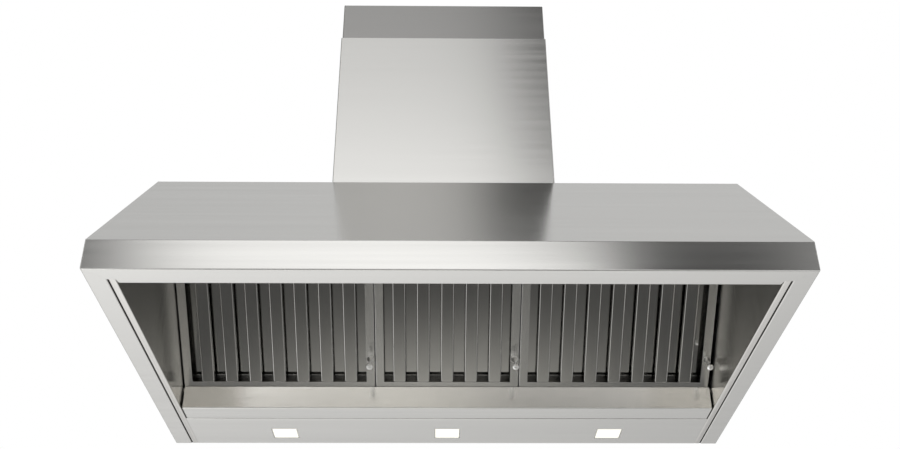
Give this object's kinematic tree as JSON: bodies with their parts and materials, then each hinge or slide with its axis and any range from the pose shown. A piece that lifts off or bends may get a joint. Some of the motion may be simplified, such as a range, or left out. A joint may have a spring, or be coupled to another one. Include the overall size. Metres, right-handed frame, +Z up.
{
  "type": "range hood",
  "caption": "Wall-mounted canopy range hood with sloping stainless roof, baffle filters on a slope, grease tray, square lamps, blower and telescopic flue cover.",
  "frame": {"origin": "on the wall plane, at mid width, level with the canopy's underside", "axes": "+X to the right seen from the cook, +Y towards the wall, +Z up"},
  "size_m": [1.2, 0.788, 0.914],
  "materials": {
    "stainless_skin": "brushed, grain along the width",
    "stainless_dull": "brushed, duller and darker than the canopy",
    "stainless_liner": "smooth rolled, soft reflections",
    "stainless_baffle": "bright rolled, folded edges",
    "stainless_frame": "rolled, grain along the width",
    "spring_steel": "bright rolled",
    "galvanised_steel": "zinc coated, faint spangle",
    "bright_steel": "turned and polished",
    "aluminium_sheet": "mill finish",
    "cast_aluminium": "die cast, satin",
    "frosted_lens": "frosted, lit warm white",
    "motor_paint": "satin black paint",
    "white_plastic": "moulded",
    "black_plastic": "moulded"
  },
  "bodies": {
    "hood": {"canopy_front": "stainless_skin", "canopy_roof": "stainless_skin", "canopy_top": "stainless_skin", "side_panel_left": "stainless_skin", "side_panel_right": "stainless_skin", "rear_panel": "galvanised_steel", "wall_stiffeners": "galvanised_steel", "side_liner_left": "stainless_liner", "side_liner_right": "stainless_liner", "front_liner": "stainless_liner", "filter_top_rail": "stainless_liner", "filter_rest": "stainless_liner", "light_panel": "stainless_skin", "tray_clips": "spring_steel", "flue_lower": "stainless_skin", "duct_collar": "galvanised_steel", "damper_spindle": "bright_steel", "duct_adapter": "galvanised_steel", "blower_wrapper": "galvanised_steel", "blower_side_left": "galvanised_steel", "blower_side_right": "galvanised_steel", "blower_motor": "motor_paint", "motor_bracket": "galvanised_steel", "control_box": "galvanised_steel", "control_box_lid": "galvanised_steel", "lid_screws": "bright_steel", "collar_screws": "bright_steel", "terminal_block": "white_plastic", "lamp_driver": "white_plastic", "motor_capacitor": "white_plastic", "cable_gland": "black_plastic", "lamp_body_left": "cast_aluminium", "lamp_lens_left": "frosted_lens", "lamp_board_left": "white_plastic", "lamp_body_centre": "cast_aluminium", "lamp_lens_centre": "frosted_lens", "lamp_board_centre": "white_plastic", "lamp_body_right": "cast_aluminium", "lamp_lens_right": "frosted_lens", "lamp_board_right": "white_plastic"},
    "flue_slider": {"flue_upper": "stainless_dull", "flue_bracket": "galvanised_steel"},
    "filter_left": {"filter_1_frame": "stainless_frame", "filter_1_front_baffles": "stainless_baffle", "filter_1_rear_baffles": "stainless_baffle", "filter_1_knob": "bright_steel"},
    "filter_centre": {"filter_2_frame": "stainless_frame", "filter_2_front_baffles": "stainless_baffle", "filter_2_rear_baffles": "stainless_baffle", "filter_2_knob": "bright_steel"},
    "filter_right": {"filter_3_frame": "stainless_frame", "filter_3_front_baffles": "stainless_baffle", "filter_3_rear_baffles": "stainless_baffle", "filter_3_knob": "bright_steel"},
    "tray": {"grease_tray": "stainless_skin", "tray_ends": "stainless_skin"},
    "fan": {"blower_wheel": "galvanised_steel", "blower_shaft": "bright_steel"},
    "flap_front": {"damper_flap_front": "aluminium_sheet"},
    "flap_rear": {"damper_flap_rear": "aluminium_sheet"}
  },
  "joints": [
    {"name": "flue_slide", "type": "slide", "parent": "hood", "child": "flue_slider", "axis": [0, 0, 1], "range_m": [-0.09, 0.2]},
    {"name": "filter_left_lift", "type": "slide", "parent": "hood", "child": "filter_left", "axis": [0, -0.788, 0.6157], "range_m": [0, 0.014]},
    {"name": "filter_centre_lift", "type": "slide", "parent": "hood", "child": "filter_centre", "axis": [0, -0.788, 0.6157], "range_m": [0, 0.014]},
    {"name": "filter_right_lift", "type": "slide", "parent": "hood", "child": "filter_right", "axis": [0, -0.788, 0.6157], "range_m": [0, 0.014]},
    {"name": "tray_drop", "type": "slide", "parent": "hood", "child": "tray", "axis": [0, 0, -1], "range_m": [0, 0.06]},
    {"name": "fan_spin", "type": "hinge", "parent": "hood", "child": "fan", "pos_m": [0, -0.1485, 0.245], "axis": [1, 0, 0], "continuous": true},
    {"name": "flap_front_swing", "type": "hinge", "parent": "hood", "child": "flap_front", "pos_m": [0, -0.2085, 0.425], "axis": [-1, 0, 0], "range_deg": [0, 80]},
    {"name": "flap_rear_swing", "type": "hinge", "parent": "hood", "child": "flap_rear", "pos_m": [0, -0.2085, 0.425], "axis": [1, 0, 0], "range_deg": [0, 80]}
  ]
}
